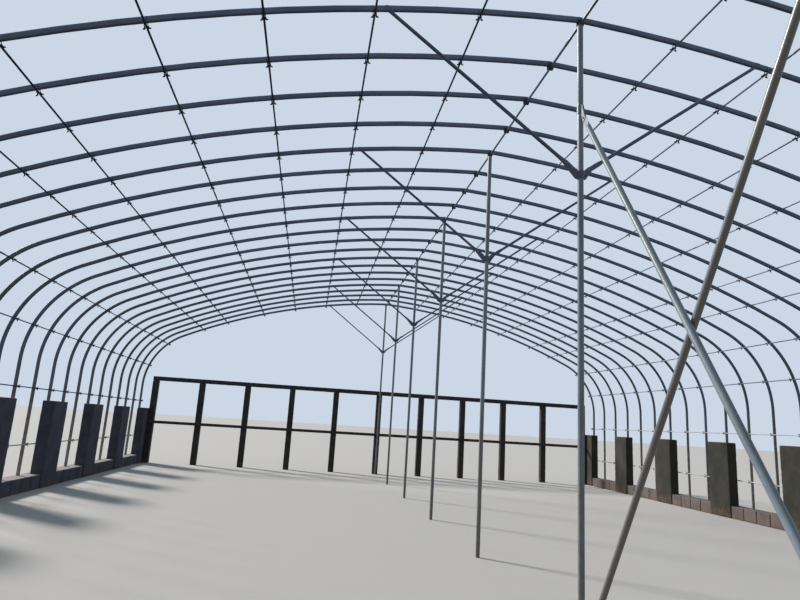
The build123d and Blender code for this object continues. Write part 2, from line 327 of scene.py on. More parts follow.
def spread(tree, value, low, high, to_low=0.0, to_high=1.0):
    """Map a value from one span to another, clamped, with soft ends."""
    node = tree.nodes.new("ShaderNodeMapRange")
    node.interpolation_type = "SMOOTHSTEP"
    for name, number in (("From Min", low), ("From Max", high), ("To Min", to_low), ("To Max", to_high)):
        node.inputs[name].default_value = number
    tree.links.new(value, node.inputs["Value"])
    return node.outputs["Result"]


def combine(tree, operation, a, b):
    """Math on two values. The second can be a number."""
    node = tree.nodes.new("ShaderNodeMath")
    node.operation = operation
    tree.links.new(a, node.inputs[0])
    if isinstance(b, float):
        node.inputs[1].default_value = b
    else:
        tree.links.new(b, node.inputs[1])
    return node.outputs["Value"]


def blend_colour(tree, factor, a, b):
    node = tree.nodes.new("ShaderNodeMix")
    node.data_type = "RGBA"
    tree.links.new(factor, node.inputs["Factor"])
    for value, socket in ((a, node.inputs[6]), (b, node.inputs[7])):
        if isinstance(value, tuple):
            socket.default_value = (*value, 1)
        else:
            tree.links.new(value, socket)
    return node.outputs[2]


def bump(tree, shader, height, strength, distance):
    node = tree.nodes.new("ShaderNodeBump")
    node.inputs["Strength"].default_value = strength
    node.inputs["Distance"].default_value = distance
    tree.links.new(height, node.inputs["Height"])
    tree.links.new(node.outputs["Normal"], shader.inputs["Normal"])


def seen_directly(tree):
    """1 for rays from the camera and from mirrorings, 0 for the rest."""
    path = tree.nodes.new("ShaderNodeLightPath")
    return combine(tree, "MAXIMUM", path.outputs["Is Camera Ray"], path.outputs["Is Glossy Ray"])


# Materials

SOIL = (0.23, 0.125, 0.075)
DUST = (0.46, 0.40, 0.35)

# Spans of noise: wide for even patches, and lower or higher for more or less of them
EVEN_PATCHES = (0.3, 0.7)
SOIL_PATCHES = (0.35, 0.75)
DUST_PATCHES = (0.22, 0.62)
OXIDE_PATCHES = (0.40, 0.60)
MOTTLE_PATCHES = (0.32, 0.68)
STAIN_PATCHES = (0.5, 0.72)
SPECKLE_PATCHES = (0.35, 0.7)

CLOUD_SCALE = 2.2
CRYSTAL_SCALE = 85
CRYSTAL_SPAN = (0.55, 1.0)
CRYSTAL_GLOSS = (-0.05, 0.08)
CRYSTAL_LIGHT = 1.5
OXIDE_SCALE = 0.55
OXIDE_HEIGHTS = (5.4, 3.4)
OXIDE_AMOUNTS = (0.12, 0.9)
OXIDE_STRETCHES = (0.55, 1.0)
# Painted shade: how far a face must look down to be darkened, and how dark it gets
PAINTED_SHADE_FACING = (-0.1, -0.75)
PAINTED_SHADE_DARKNESS = 0.25
DUST_AMOUNT = 0.9
ZINC_GRAIN = 240
ZINC_BUMP = (0.10, 0.001)
SPLASH_SCALE = 14

MOTTLE_SCALE = 3.5
STAIN_SCALE = 2.1
STAIN_STRETCH = (1, 1, 0.45)
STAIN_AMOUNT = 0.8
SPECKLE_AMOUNT = 0.3
SPECKLE_SHADE = 0.55
SOIL_AMOUNT = 0.85
MASONRY_ROUGHNESS = 0.92
PIT_SCALE = 1.6
MASONRY_BUMP = (0.35, 0.004)
# Painted light: how far a face must look up to take the pale top colour
SUNLIT_TOP_FACING = (0.45, 0.85)


def soiled(tree, place, colour, top, amount, dirt, patches):
    """Colour with soil or dust blown up from the ground to a height."""
    splash = spread(tree, z_of(tree, place), top, 0.0)
    patchy = spread(tree, noise_node(tree, place, SPLASH_SCALE, detail=4), *patches)
    cover = combine(tree, "MULTIPLY", combine(tree, "MULTIPLY", splash, patchy), amount)
    return blend_colour(tree, cover, colour, dirt)


def oxidised(tree, place, colour, oxide):
    """Colour that dulls towards the legs, in long stretches."""
    low_down = spread(tree, z_of(tree, place), *OXIDE_HEIGHTS, *OXIDE_AMOUNTS)
    long_noise = noise_node(tree, place, OXIDE_SCALE, detail=2)
    stretches = spread(tree, long_noise, *OXIDE_PATCHES, *OXIDE_STRETCHES)
    return blend_colour(tree, combine(tree, "MULTIPLY", low_down, stretches), colour, oxide)


def galvanised(name, dark, light, roughness, metallic=0.0, shine=0.5, crystal=0.1, oxide=None, underside_light_share=1.0,
               dust_top=0.0, dust=DUST):
    """Zinc-coated tube: faint crystals, cloudy weathering, dust low down and painted shade underneath."""
    material, tree, shader, place = new_material(name)
    clouds = spread(tree, noise_node(tree, place, CLOUD_SCALE, detail=5), *EVEN_PATCHES)
    crystals = cells_node(tree, place, CRYSTAL_SCALE)
    colour = blend_colour(tree, clouds, dark, light)
    if oxide:
        colour = oxidised(tree, place, colour, oxide)
    bright = tuple(min(1, c * CRYSTAL_LIGHT) for c in light)
    colour = blend_colour(tree, spread(tree, crystals, *CRYSTAL_SPAN, 0.0, crystal), colour, bright)
    # Painted shade: faces that look down blend towards a darker copy of the colour, standing in for the shade
    # under the tube; a value of 1 paints none
    if underside_light_share < 1:
        under = spread(tree, facing_up(tree), *PAINTED_SHADE_FACING, 0.0, 1 - underside_light_share)
        colour = blend_colour(tree, under, colour, tuple(c * PAINTED_SHADE_DARKNESS for c in dark))
    if dust_top:
        colour = soiled(tree, place, colour, dust_top, DUST_AMOUNT, dust, DUST_PATCHES)
    tree.links.new(colour, shader.inputs["Base Color"])
    gloss = spread(tree, crystals, 0.0, 1.0, roughness + CRYSTAL_GLOSS[0], roughness + CRYSTAL_GLOSS[1])
    tree.links.new(gloss, shader.inputs["Roughness"])
    shader.inputs["Metallic"].default_value = metallic
    shader.inputs["Specular IOR Level"].default_value = shine
    bump(tree, shader, noise_node(tree, place, ZINC_GRAIN, detail=2), *ZINC_BUMP)
    return material


def masonry(name, base, patch, stain, soil_top, grain, painted_sunlit_top=None):
    """Concrete or render: mottled, stained in patches, pitted and splashed with soil. Its upper side can be
    painted paler, as painted sunlight on the top."""
    material, tree, shader, place = new_material(name)
    mottle = spread(tree, noise_node(tree, place, MOTTLE_SCALE, detail=6), *MOTTLE_PATCHES)
    colour = blend_colour(tree, mottle, base, patch)
    stains = spread(tree, noise_node(tree, place, STAIN_SCALE, 6, STAIN_STRETCH), *STAIN_PATCHES)
    colour = blend_colour(tree, combine(tree, "MULTIPLY", stains, STAIN_AMOUNT), colour, stain)
    speckle = spread(tree, noise_node(tree, place, grain, detail=3), *SPECKLE_PATCHES, 0.0, SPECKLE_AMOUNT)
    colour = blend_colour(tree, speckle, colour, tuple(c * SPECKLE_SHADE for c in base))
    colour = soiled(tree, place, colour, soil_top, SOIL_AMOUNT, SOIL, SOIL_PATCHES)
    # Painted light: faces that look up blend to a paler colour, standing in for sunlight on the top
    if painted_sunlit_top:
        colour = blend_colour(tree, spread(tree, facing_up(tree), *SUNLIT_TOP_FACING), colour, painted_sunlit_top)
    tree.links.new(colour, shader.inputs["Base Color"])
    shader.inputs["Roughness"].default_value = MASONRY_ROUGHNESS
    bump(tree, shader, noise_node(tree, place, grain * PIT_SCALE, detail=5), *MASONRY_BUMP)
    return material


hoop_steel = galvanised("hoop_steel", (0.14, 0.185, 0.29), (0.215, 0.27, 0.40), roughness=0.50, shine=0.3,
                        oxide=(0.10, 0.125, 0.14), underside_light_share=0.2, dust_top=3.2)
# Painted shade: a dark, dull copy of the purlin steel for the left roof purlins and upper rail, standing in
# for their shade
purlin_shaded_copy = galvanised("purlin_shaded_copy", (0.035, 0.055, 0.10), (0.06, 0.09, 0.15), roughness=0.55,
                          shine=0.05, underside_light_share=0.3)
# Painted shade: a darker copy of the hoop steel for the struts, standing in for the shade they are seen in
strut_steel_painted_shade = galvanised("strut_steel_painted_shade", (0.10, 0.135, 0.21), (0.16, 0.20, 0.30), roughness=0.45,
                         shine=0.3, underside_light_share=0.5)
# Painted light: a lighter copy of the same purlin steel for the ridge and the right-hand purlins, where they
# are lit
purlin_lit_copy = galvanised("purlin_lit_copy", (0.09, 0.13, 0.21), (0.15, 0.205, 0.31), roughness=0.34, underside_light_share=0.15)
rail_steel = galvanised("rail_steel", (0.40, 0.41, 0.42), (0.60, 0.61, 0.62), roughness=0.42,
                        metallic=0.2, crystal=0.2)
post_steel = galvanised("post_steel", (0.22, 0.265, 0.32), (0.32, 0.37, 0.43), roughness=0.36, shine=0.35,
                        dust_top=2.6, dust=(0.27, 0.245, 0.205))
brace_steel = galvanised("brace_steel", (0.19, 0.235, 0.285), (0.27, 0.325, 0.38), roughness=0.38,
                         shine=0.35, dust_top=0.4)
# Painted shade: a darker, greyer copy of the brace steel for the tube that leans away from the light; its
# warm dust low down is real dirt
flank_steel_painted_shade = galvanised("flank_steel_painted_shade", (0.15, 0.155, 0.165), (0.23, 0.23, 0.235), roughness=0.36, shine=1.0,
                         underside_light_share=0.3, dust_top=3.0, dust=(0.20, 0.17, 0.145))
collar_steel = galvanised("collar_steel", (0.10, 0.13, 0.19), (0.17, 0.21, 0.29), roughness=0.45,
                          shine=0.3, underside_light_share=0.5)
bracket_steel = galvanised("bracket_steel", (0.014, 0.018, 0.025), (0.03, 0.036, 0.048), roughness=0.50,
                           shine=0.2)
bolt_steel = galvanised("bolt_steel", (0.14, 0.16, 0.18), (0.26, 0.28, 0.31), roughness=0.4,
                        metallic=0.3, crystal=0.2)

curb_block = masonry("curb_block", (0.145, 0.117, 0.106), (0.205, 0.172, 0.156), (0.075, 0.066, 0.060),
                     soil_top=0.16, grain=60)
# Painted shade and light: a dark bluish copy of the curb block for the left wall, standing in for its shaded
# sides, with a painted sunlit top
curb_painted_shade_and_light = masonry("curb_painted_shade_and_light", (0.075, 0.078, 0.105), (0.12, 0.12, 0.145), (0.04, 0.045, 0.055),
                    soil_top=0.10, grain=60, painted_sunlit_top=(0.38, 0.34, 0.325))
mortar = masonry("mortar", (0.09, 0.08, 0.075), (0.13, 0.115, 0.105), (0.06, 0.055, 0.05),
                 soil_top=0.16, grain=90)
# Painted shade: the left pillars take a dark navy copy of the pillar render, standing in for the shade on
# their inner faces
pillar_left_painted_shade = masonry("pillar_left_painted_shade", (0.055, 0.060, 0.090), (0.090, 0.095, 0.125), (0.028, 0.034, 0.045),
                      soil_top=0.25, grain=40)
pillar_right = masonry("pillar_right", (0.030, 0.032, 0.023), (0.054, 0.050, 0.038), (0.013, 0.018, 0.010),
                       soil_top=0.30, grain=40)
end_concrete = masonry("end_concrete", (0.040, 0.040, 0.042), (0.070, 0.066, 0.062), (0.022, 0.023, 0.020),
                       soil_top=0.2, grain=45)


# Hoops

ROOF_RINGS = 14
SHOULDER_RINGS = 22
HOOP_SIDES = 16


def hoop_section(grow=0.0, points=HOOP_SIDES):
    """Flat oval of the hoop tube as (inward, along the tunnel) offsets."""
    radius = HOOP_WIDTH / 2 + grow
    shift = (HOOP_DEPTH - HOOP_WIDTH) / 2
    outline = []
    for i in range(points):
        turn = 2 * pi * (i + 0.5) / points
        outline.append((radius * cos(turn) + (shift if cos(turn) > 0 else -shift), radius * sin(turn)))
    return outline


def hoop_stations():
    """Arc lengths of the rings on one side: even on each arc, then the leg's foot."""
    roof = [ROOF_ARC * i / ROOF_RINGS for i in range(1, ROOF_RINGS + 1)]
    shoulder = [ROOF_ARC + SHOULDER_ARC * i / SHOULDER_RINGS for i in range(1, SHOULDER_RINGS + 1)]
    leg = ROOF_ARC + SHOULDER_ARC + SHOULDER_Z - CURB_TOP
    return roof + shoulder + [leg]


def ring_at(station, side, outline):
    point, _, inward = hoop_at(station, side)
    return [point + inward * a + Vector((0, b, 0)) for a, b in outline]


def make_hoops():
    """One tube for all hoops, as a mesh that the pieces share."""
    outline = hoop_section()
    left = [ring_at(station, -1, outline) for station in reversed(hoop_stations())]
    apex = [Vector((0, b, RIDGE_HEIGHT - a)) for a, b in outline]
    right = [ring_at(station, 1, outline) for station in hoop_stations()]
    shape = Shape()
    shape.skin(left + [apex] + right)
    first = shape.finish("hoop_tube_01", hoop_steel)
    first.location.y = HOOP_YS[0]
    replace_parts(first, HOOP_NODES[0])
    for number, (node, y) in enumerate(zip(HOOP_NODES[1:], HOOP_YS[1:]), start=2):
        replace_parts(place_piece(f"hoop_tube_{number:02d}", first.data, y), node)


# Long tubes

JOINT_PITCH = 6.0
JOINT_CLEARANCE = 0.3
RIDGE_FIRST_JOINT = 3.4
ROOF_FIRST_JOINT = 1.1
ROOF_JOINT_SHIFT = 1.7
ROOF_JOINT_CYCLE = 5
UPPER_RAIL_FIRST_JOINT = 2.6
SLEEVE_LENGTH = 0.14
SLEEVE_WALL = 0.0018
LONG_TUBE_SIDES = 14
# Place along a sleeve, as a share of its length, and step in the radius
SLEEVE_MARKS = ((-0.5, -SLEEVE_WALL), (-0.47, 0), (0.47, 0), (0.5, -SLEEVE_WALL))


def add_long_tube(shape, x, z, radius, y0, y1, first_joint=0):
    """Thin tube in lengths that meet in swaged sleeves. It narrows towards each sleeve, so that the
    sleeve stays within the radius."""
    joints = []
    y = y0 + first_joint
    while y < y1 - JOINT_CLEARANCE:
        if y > y0 + JOINT_CLEARANCE:
            joints.append(y)
        y += JOINT_PITCH
    path, radii = [(x, y0, z)], [radius]
    for y in joints:
        for share, step in SLEEVE_MARKS:
            path.append((x, y + share * SLEEVE_LENGTH, z))
            radii.append(radius + step)
    path.append((x, y1, z))
    radii.append(radius)
    shape.tube(path, radii, LONG_TUBE_SIDES)


def purlin_stations():
    stations = []
    total = 0
    for step in ROOF_PURLIN_STEPS:
        total += step
        stations.append(total)
    return stations


def make_purlins():
    ridge = Shape()
    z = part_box("ridge_purlin")[1].z - RIDGE_PURLIN_RADIUS
    add_long_tube(ridge, 0, z, RIDGE_PURLIN_RADIUS, -REACH, REACH, RIDGE_FIRST_JOINT)
    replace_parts(ridge.finish("ridge_purlin_tube", purlin_lit_copy), "ridge_purlin")
    for name, side in SIDES.items():
        # The left roof purlins and upper rail take the copy with painted shade, the right ones the lighter
        # copy
        purlin_coat, rail_coat = (purlin_shaded_copy, purlin_shaded_copy) if side < 0 else (purlin_lit_copy, rail_steel)
        roof = Shape()
        for number, station in enumerate(purlin_stations()):
            point, _, inward = hoop_at(station, side)
            centre = point + inward * (HOOP_DEPTH / 2 + PURLIN_RADIUS)
            first_joint = ROOF_FIRST_JOINT + number * ROOF_JOINT_SHIFT % ROOF_JOINT_CYCLE
            add_long_tube(roof, centre.x, centre.z, PURLIN_RADIUS, -REACH, REACH, first_joint)
        roof_tubes = roof.finish(f"roof_purlin_tubes_{name}", purlin_coat)
        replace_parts(roof_tubes, f"roof_purlins_{name}")
        x = side * (LEG_INNER - PURLIN_RADIUS)
        upper = Shape()
        add_long_tube(upper, x, UPPER_RAIL_HEIGHT, PURLIN_RADIUS, -REACH, REACH, UPPER_RAIL_FIRST_JOINT)
        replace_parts(upper.finish(f"upper_rail_tube_{name}", rail_coat), f"upper_rail_{name}")
        low = Shape()
        for near, far in zip(PILLAR_YS, PILLAR_YS[1:]):
            add_long_tube(low, x, LOW_RAIL_HEIGHT, PURLIN_RADIUS,
                          near + PILLAR_LENGTH / 2, far - PILLAR_LENGTH / 2)
        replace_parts(low.finish(f"low_rail_tubes_{name}", rail_steel), f"low_rail_{name}")


# Wire clips where a thin tube crosses a hoop

WIRE_RADIUS = 0.004
THIN_WIRE_RADIUS = 0.0014
WIRE_SIDES = 6
CLIP_HALF = 0.0160
CLIP_REACH = 0.018
CLIP_SHARP_ANGLE = 60

# Bends of the wire: drops are from the underside of the tube, and the crown's are shares
CLIP_FLAT_HALF = 0.008
CLIP_FLAT_DROP = 0.001
CLIP_CORNER_DROP = 0.009
CLIP_CROWN_IN = 0.8
CLIP_CROWN_DROP = 0.86
CLIP_NECK_DROP = 0.016

# Turned-out end: from its loop beside the tube to its tip
LOOP_REACH = 0.8
LOOP_DROP = 0.004
LOOP_GAP = 0.006
PRONG_TIP = 0.036
PRONG_REACH = 0.002
PRONG_RISE = 0.003
PRONG_RADII = (0.0075, 0.0095, 0.0060)


def add_clip(shape, centre, tangent, inward, y):
    """Spring wire: up the hoop's near side, over it, drawn in under the tube beyond, ends turned out."""
    near = -HOOP_WIDTH / 2 - THIN_WIRE_RADIUS
    far = HOOP_WIDTH / 2 + WIRE_RADIUS
    top = -HOOP_DEPTH / 2 - THIN_WIRE_RADIUS
    under = HOOP_DEPTH / 2 + 2 * PURLIN_RADIUS + THIN_WIRE_RADIUS
    thin = [(0, near, under), (CLIP_FLAT_HALF, near, under - CLIP_FLAT_DROP),
            (CLIP_HALF, near, under - CLIP_CORNER_DROP), (CLIP_HALF, near, 0),
            (CLIP_HALF, near * CLIP_CROWN_IN, top * CLIP_CROWN_DROP), (CLIP_HALF, 0, top),
            (CLIP_HALF, -near * CLIP_CROWN_IN, top * CLIP_CROWN_DROP)]
    thick = [(CLIP_HALF, far, 0), (CLIP_HALF, far, under - CLIP_NECK_DROP)]
    prong = [(PURLIN_RADIUS + WIRE_RADIUS, far + CLIP_REACH * LOOP_REACH, under - LOOP_DROP),
             (PURLIN_RADIUS + LOOP_GAP, far + CLIP_REACH, under),
             (PRONG_TIP, far + CLIP_REACH + PRONG_REACH, under + PRONG_RISE)]
    half = thin + thick + prong
    radii = [THIN_WIRE_RADIUS] * len(thin) + [WIRE_RADIUS] * len(thick) + list(PRONG_RADII)
    points = [(-t, d, n) for t, d, n in reversed(half[1:])] + half
    path = [centre + tangent * t + inward * n + Vector((0, y + d, 0)) for t, d, n in points]
    shape.tube(path, radii[:0:-1] + radii, WIRE_SIDES)


def make_clips():
    down = Vector((0, 0, -1))
    for name, side in SIDES.items():
        clips = Shape()
        inward = Vector((-side, 0, 0))
        for y in HOOP_YS:
            for station in purlin_stations():
                point, tangent, normal = hoop_at(station, side)
                add_clip(clips, point, tangent, normal, y)
            add_clip(clips, Vector((side * HALF_SPAN, 0, UPPER_RAIL_HEIGHT)), down, inward, y)
            if min(abs(y - p) for p in PILLAR_YS) > PILLAR_LENGTH / 2:
                add_clip(clips, Vector((side * HALF_SPAN, 0, LOW_RAIL_HEIGHT)), down, inward, y)
        clips.finish(f"wire_clips_{name}", bracket_steel, CLIP_SHARP_ANGLE)


# Posts

POST_RING_HEIGHTS = (0, 0.4, 1.2, 2.4, 3.6, 4.8)
POST_SIDES = 32


def make_posts():
    heights = (*POST_RING_HEIGHTS, CLAMP_BOTTOM)
    posts = Shape()
    for y in POST_YS:
        posts.tube([(0, y, z) for z in heights], [POST_RADIUS] * len(heights), POST_SIDES)
    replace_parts(posts.finish("centre_post_tubes", post_steel), "centre_posts")


# Tubes pressed flat at their ends

TAB_PLATE = 0.006
TAB_LENGTH = 0.15
FLARE_LENGTH = 0.08
FLARE_RINGS = 8
SQUEEZED_SIDES = 24
FLATNESS = 0.35
# Tab's rounded corners, as distance from the end, roundness and share of the full width
TAB_CORNER = [(0, 0, 0.55), (0.006, 0, 0.86), (0.016, 0, 1)]


def rounded_power(value, power):
    """Power of a value that keeps its sign."""
    return (abs(value) ** power) * (1 if value > 0 else -1)


def add_squeezed_tube(shape, start, end, wide, diameter, tab_width, shift=0, trim_head=None, trim_foot=None):
    """Tube pressed flat at its ends. wide is the direction across the tab, shift moves the tab off axis.
    A trimmed head stays round, and a trimmed foot has no rounded corners."""
    axis = (end - start).normalized()
    thin = axis.cross(wide).normalized()
    wide = thin.cross(axis).normalized()
    length = (end - start).length
    flare = [(TAB_LENGTH, 0, 1)]
    for i in range(1, FLARE_RINGS + 1):
        share = i / FLARE_RINGS
        flare.append((TAB_LENGTH + FLARE_LENGTH * share, (1 - cos(pi * share)) / 2, 1))
    stations = TAB_CORNER + flare
    marks = [(0, 0, 1)] + flare if trim_foot else list(stations)
    if trim_head:
        marks.append((length, 1, 1))
    else:
        marks += [(length - s, roundness, taper) for s, roundness, taper in reversed(stations)]
    rings = []
    for s, roundness, taper in marks:
        half_wide = (tab_width * (1 - roundness) + diameter * roundness) / 2 * taper
        half_thin = (TAB_PLATE * (1 - roundness) + diameter * roundness) / 2
        power = FLATNESS + (1 - FLATNESS) * roundness
        centre = start + axis * s + thin * (shift * (1 - roundness))
        ring = []
        for i in range(SQUEEZED_SIDES):
            turn = 2 * pi * i / SQUEEZED_SIDES
            ring.append(centre + wide * (half_wide * rounded_power(cos(turn), power))
                        + thin * (half_thin * rounded_power(sin(turn), power)))
        rings.append(ring)
    if trim_head:
        rings[-1] = [trim_head(p, axis) for p in rings[-1]]
    if trim_foot:
        rings[0] = [trim_foot(p, axis) for p in rings[0]]
    shape.skin(rings)


def under_hoop(side):
    """Slide a point along an axis onto the underside of the roof arc."""
    middle = Vector((-side * ROOF_OFFSET, 0, ROOF_CENTRE_Z))
    radius = ROOF_RADIUS - HOOP_DEPTH / 2

    def slide(point, axis):
        rel = point - middle
        rel.y = 0
        flat = Vector((axis.x, 0, axis.z))
        a = flat.dot(flat)
        b = 2 * rel.dot(flat)
        c = rel.dot(rel) - radius ** 2
        return point + axis * ((-b + sqrt(b * b - 4 * a * c)) / (2 * a))

    return slide


def onto_ground(point, axis):
    """Slide a point along an axis to the ground."""
    return point - axis * (point.z / axis.z)


# Struts and their collars

STRUT_TAB_WIDTH = 0.046
STRUT_FOOT_GAP = 0.058
STRUT_HEAD_INSET = 0.05
STRAP_CLEARANCE = 0.0002
STRAP_OUTSIDE = 0.0022
STRAP_HALF = 0.018
STRAP_SIDES = 20
EAR_LENGTHS = {"left": 0.200, "right": 0.130}
EAR_WIDTH = 0.05
EAR_ROOT = 0.05
EAR_ROOT_START = 0.9
EAR_CORNER_BACK = 0.014
EAR_CORNER_IN = 0.25
EAR_BOLT_INSET = 0.032
EAR_BOLT_PITCH = 0.055
EAR_BOLT_RADIUS = 0.007
COLLAR_CLEARANCE = 0.0003
COLLAR_STEPS = 16
COLLAR_SHARP_ANGLE = 30


def strut_axis(side):
    head = hoop_at(STRUT_HEAD_STATION, side)[0]
    return (head - Vector((0, 0, COLLAR_HEIGHT))).normalized()


def add_strap(shape, side, y):
    """Folded strap round the hoop at a strut's head."""
    point, tangent, inward = hoop_at(STRUT_HEAD_STATION, side)
    inner = hoop_section(STRAP_CLEARANCE, STRAP_SIDES)
    outer = hoop_section(STRAP_OUTSIDE, STRAP_SIDES)
    rings = []
    for t, outline in ((-STRAP_HALF, inner), (-STRAP_HALF, outer), (STRAP_HALF, outer), (STRAP_HALF, inner)):
        rings.append([point + tangent * t + inward * a + Vector((0, y + b, 0)) for a, b in outline])
    shape.skin(rings, closed=True)


def make_struts(bolts):
    for name, side in SIDES.items():
        struts = Shape()
        straps = Shape()
        axis = strut_axis(side)
        across_tab = axis.cross(Vector((0, 1, 0)))
        outer_bolt = EAR_LENGTHS[name] - EAR_BOLT_INSET
        for y in POST_YS:
            origin = Vector((0, y, COLLAR_HEIGHT))
            head = hoop_at(STRUT_HEAD_STATION, side)[0] + Vector((0, y, 0))
            head -= axis * STRUT_HEAD_INSET
            add_squeezed_tube(struts, origin + axis * STRUT_FOOT_GAP, head, across_tab,
                              STRUT_DIAMETER, STRUT_TAB_WIDTH, trim_head=under_hoop(side))
            add_strap(straps, side, y)
            for facing in (-1, 1):
                normal = Vector((0, facing, 0))
                face = normal * (TAB_PLATE / 2 + COLLAR_WALL)
                for distance in (outer_bolt, outer_bolt - EAR_BOLT_PITCH):
                    bolts.bolt(origin + axis * distance + face, normal, EAR_BOLT_RADIUS)
        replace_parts(struts.finish(f"strut_tubes_{name}", strut_steel_painted_shade), f"post_struts_{name}")
        straps.finish(f"strut_straps_{name}", collar_steel)


def ear_outline(out, up, length):
    """Corners of a collar's ear that runs along a direction, as (outward, up)."""
    half_band = COLLAR_BAND / 2
    side = 1 if out > 0 else -1
    rise = 1 if up > 0 else -1
    start = side * POST_RADIUS * EAR_ROOT_START
    tip = Vector((out, up)) * length
    width = Vector((abs(up) * side, -abs(out) * rise)) * (EAR_WIDTH / 2)
    back = Vector((out, up)) * EAR_CORNER_BACK
    low, high = tip + width, tip - width
    corners = [Vector((start, -rise * half_band)), Vector((side * EAR_ROOT, -rise * half_band)),
               low - back, low - width * EAR_CORNER_IN, high + width * EAR_CORNER_IN, high - back,
               Vector((start, rise * half_band))]
    return [tuple(c) for c in corners]


def add_collar(shape, centre, ears, outward):
    """Both halves of a collar. outward is the horizontal direction of the ears' plane."""
    facing = Vector((0, 0, 1)).cross(outward)
    half_band = COLLAR_BAND / 2
    inner, outer = POST_RADIUS + COLLAR_CLEARANCE, POST_RADIUS + COLLAR_WALL
    gap = TAB_PLATE / 2
    start = asin(gap / inner)

    def place(u, v, w):
        return centre + outward * u + Vector((0, 0, v)) + facing * w

    for turn in (1, -1):
        rings = []
        for i in range(COLLAR_STEPS + 1):
            angle = start + (pi - 2 * start) * i / COLLAR_STEPS
            direction = outward * cos(angle) + facing * (turn * sin(angle))
            corners = ((inner, -half_band), (outer, -half_band), (outer, half_band), (inner, half_band))
            rings.append([centre + direction * r + Vector((0, 0, z)) for r, z in corners])
        shape.skin(rings)
        low, high = sorted((turn * gap, turn * (gap + COLLAR_WALL)))
        for outline in ears:
            shape.prism(outline, low, high, place)


def make_collars():
    ears = []
    for name, side in SIDES.items():
        axis = strut_axis(side)
        ears.append(ear_outline(axis.x, axis.z, EAR_LENGTHS[name]))
    collars = Shape()
    for y in POST_YS:
        add_collar(collars, Vector((0, y, COLLAR_HEIGHT)), ears, Vector((1, 0, 0)))
    finished = collars.finish("post_collar_bands", collar_steel, COLLAR_SHARP_ANGLE)
    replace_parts(finished, "post_collars")


# Crossed brace

MIDDLE_BRACE_GAP = 0.105
BRACE_TAB_WIDTH = 0.058
BRACE_EAR_LENGTH = 0.175
BRACE_BOLT_INSET = 0.035
BRACE_BOLT_RADIUS = 0.008
FLANK_FOOT_BOLT = 0.1
FLANK_HEAD_BOLT = 0.03


def brace_width(axis):
    """Direction across a brace's tab, in the plane of the posts."""
    return Vector((0, -axis.z, axis.y))


def make_brace(bolts):
    foot = Vector((0, POST_YS[0], MIDDLE_BRACE_FOOT))
    head = Vector((0, POST_YS[1], MIDDLE_BRACE_HEAD))
    axis = (head - foot).normalized()
    tubes = Shape()
    add_squeezed_tube(tubes, foot + axis * MIDDLE_BRACE_GAP, head - axis * MIDDLE_BRACE_GAP,
                      brace_width(axis), BRACE_DIAMETER, BRACE_TAB_WIDTH)
    # The flank tube takes the darker copy, with painted shade
    tubes.start_second_coat(flank_steel_painted_shade)
    flank_x = POST_RADIUS + BRACE_DIAMETER / 2
    low = Vector((flank_x, POST_YS[1], FLANK_BRACE_FOOT))
    high = Vector((flank_x, POST_YS[0], FLANK_BRACE_HEAD))
    flank_axis = (high - low).normalized()
    wide = brace_width(flank_axis)
    inset = (BRACE_DIAMETER - TAB_PLATE) / 2
    towards_post = -inset if flank_axis.cross(wide).x > 0 else inset
    add_squeezed_tube(tubes, low, high, wide, BRACE_DIAMETER, BRACE_TAB_WIDTH, towards_post,
                      trim_foot=onto_ground)
    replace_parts(tubes.finish("cross_brace_tubes", brace_steel), "cross_brace")

    collars = Shape()
    for end, out, up in ((foot, axis.y, axis.z), (head, -axis.y, -axis.z)):
        add_collar(collars, end, [ear_outline(out, up, BRACE_EAR_LENGTH)], Vector((0, 1, 0)))
        bolt_place = end + Vector((0, out, up)) * (BRACE_EAR_LENGTH - BRACE_BOLT_INSET)
        for turn in (-1, 1):
            normal = Vector((turn, 0, 0))
            bolts.bolt(bolt_place + normal * (TAB_PLATE / 2 + COLLAR_WALL), normal, BRACE_BOLT_RADIUS)
    finished = collars.finish("brace_collar_bands", brace_steel, COLLAR_SHARP_ANGLE)
    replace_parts(finished, "brace_collars")
    for bolt_place in (low + flank_axis * FLANK_FOOT_BOLT, high - flank_axis * FLANK_HEAD_BOLT):
        bolt_place.x = POST_RADIUS + TAB_PLATE
        bolts.bolt(bolt_place, Vector((1, 0, 0)), BRACE_BOLT_RADIUS)


# Ridge clamps

CLAMP_WALL = 0.004
CLAMP_BOLT_X = 0.022
CLAMP_BOLT_DROP = 0.014
CLAMP_BOLT_RADIUS = 0.0045


def dress_clamps(bolts):
    """The clamps keep their CAD mesh in dark steel, and cross bolts stand on both faces of each."""
    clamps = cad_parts["ridge_clamps"]
    clamps.data.materials.clear()
    clamps.data.materials.append(bracket_steel)
    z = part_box("ridge_clamps")[1].z - CLAMP_BOLT_DROP
    face = HOOP_WIDTH / 2 + CLAMP_WALL
    for y in HOOP_YS:
        for facing in (-1, 1):
            for x in (-CLAMP_BOLT_X, CLAMP_BOLT_X):
                bolts.bolt(Vector((x, y + facing * face, z)), Vector((0, facing, 0)), CLAMP_BOLT_RADIUS)


# Masonry walls and end frame

BLOCKS_PER_STRETCH = 4
BLOCKS_PER_PILLAR = 2
BLOCK_GAP = 0.006
BED_INSET = 0.02
BED_DROP = 0.012
END_POST_COUNT = 11
END_LOW_RAIL_HEIGHT = 0.09

# Radius of the edges, depth of wear and spacing of the mesh
BLOCK_SURFACE = (0.014, 0.004, 0.05)
BED_SURFACE = (0.01, 0.003, 0.2)
PILLAR_SURFACE = (0.022, 0.006, 0.055)
END_POST_SURFACE = (0.012, 0.004, 0.06)
END_TOP_RAIL_SURFACE = (0.012, 0.004, 0.12)
END_LOW_RAIL_SURFACE = (0.010, 0.003, 0.12)

